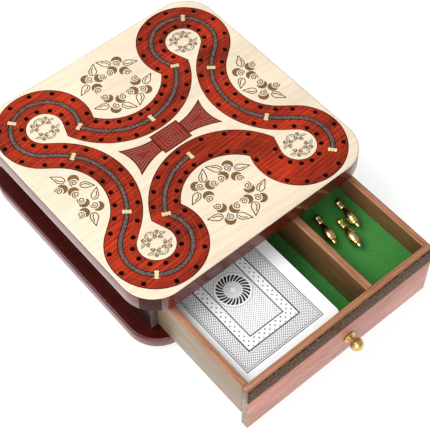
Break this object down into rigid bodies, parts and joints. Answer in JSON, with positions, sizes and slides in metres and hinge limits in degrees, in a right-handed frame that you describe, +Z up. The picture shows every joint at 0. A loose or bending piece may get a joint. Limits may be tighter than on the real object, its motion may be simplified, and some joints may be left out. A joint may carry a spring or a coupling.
{
  "type": "cribbage board",
  "caption": "Square two-track cribbage board on a low case, with a sliding drawer for cards and pegs.",
  "frame": {"origin": "centre of the base board's underside", "axes": "+Z up out of the playing face, the drawer opens towards -Y, +X to the right seen from the drawer's front"},
  "size_m": [0.152, 0.2203, 0.0536],
  "materials": {
    "lacquered_wood": "gloss dark red lacquer over reddish hardwood",
    "maple": "satin clear finish, fine pale grain",
    "padauk": "satin clear finish, orange-red with darker streaks",
    "speckled_wood": "open-pored grey-brown wood, satin",
    "cream_inlay": "satin pale cream inlay",
    "drawer_wood": "satin orange-brown hardwood",
    "facing_wood": "semi-gloss pinkish red hardwood",
    "felt": "green felt nap",
    "brass": "polished",
    "card": "white coated card with a black printed back",
    "rubber": "matt dark rubber"
  },
  "bodies": {
    "case": {"base_board": "lacquered_wood", "wall_left": "lacquered_wood", "wall_right": "lacquered_wood", "wall_back": "lacquered_wood", "top_board": "lacquered_wood", "foot_front_left": "rubber", "foot_front_right": "rubber", "foot_back_left": "rubber", "foot_back_right": "rubber", "maple_border": "maple", "maple_centre": "maple", "track_ribbon": "padauk", "bow_block": "padauk", "bow_wing_left": "padauk", "bow_wing_right": "padauk", "track_stripe": "speckled_wood", "track_marker_01": "cream_inlay", "track_marker_02": "cream_inlay", "track_marker_03": "cream_inlay", "track_marker_04": "cream_inlay", "track_marker_05": "cream_inlay", "track_marker_06": "cream_inlay", "track_marker_07": "cream_inlay", "track_marker_08": "cream_inlay", "track_marker_09": "cream_inlay", "track_marker_10": "cream_inlay", "track_marker_11": "cream_inlay", "track_marker_12": "cream_inlay", "track_marker_13": "cream_inlay"},
    "drawer": {"drawer_side_left": "drawer_wood", "drawer_side_right": "drawer_wood", "drawer_back": "drawer_wood", "drawer_bottom": "drawer_wood", "drawer_front_rail": "drawer_wood", "drawer_front_band": "speckled_wood", "drawer_front_panel": "facing_wood", "drawer_divider": "drawer_wood", "peg_bed": "drawer_wood", "felt_cards": "felt", "felt_pegs": "felt", "knob": "brass"},
    "deck": {"card_deck": "card"},
    "peg_left": {"peg_left": "brass"},
    "peg_middle": {"peg_middle": "brass"},
    "peg_right": {"peg_right": "brass"}
  },
  "joints": [
    {"name": "drawer_slide", "type": "slide", "parent": "case", "child": "drawer", "axis": [0, -1, 0], "range_m": [-0.0537, 0.045]},
    {"name": "deck_lift", "type": "slide", "parent": "drawer", "child": "deck", "axis": [0, 0, 1], "range_m": [0, 0.0075]},
    {"name": "peg_left_lift", "type": "slide", "parent": "drawer", "child": "peg_left", "axis": [0, -0.342, 0.9397], "range_m": [0, 0.04]},
    {"name": "peg_middle_lift", "type": "slide", "parent": "drawer", "child": "peg_middle", "axis": [0, -0.342, 0.9397], "range_m": [0, 0.04]},
    {"name": "peg_right_lift", "type": "slide", "parent": "drawer", "child": "peg_right", "axis": [0, -0.342, 0.9397], "range_m": [0, 0.04]}
  ]
}
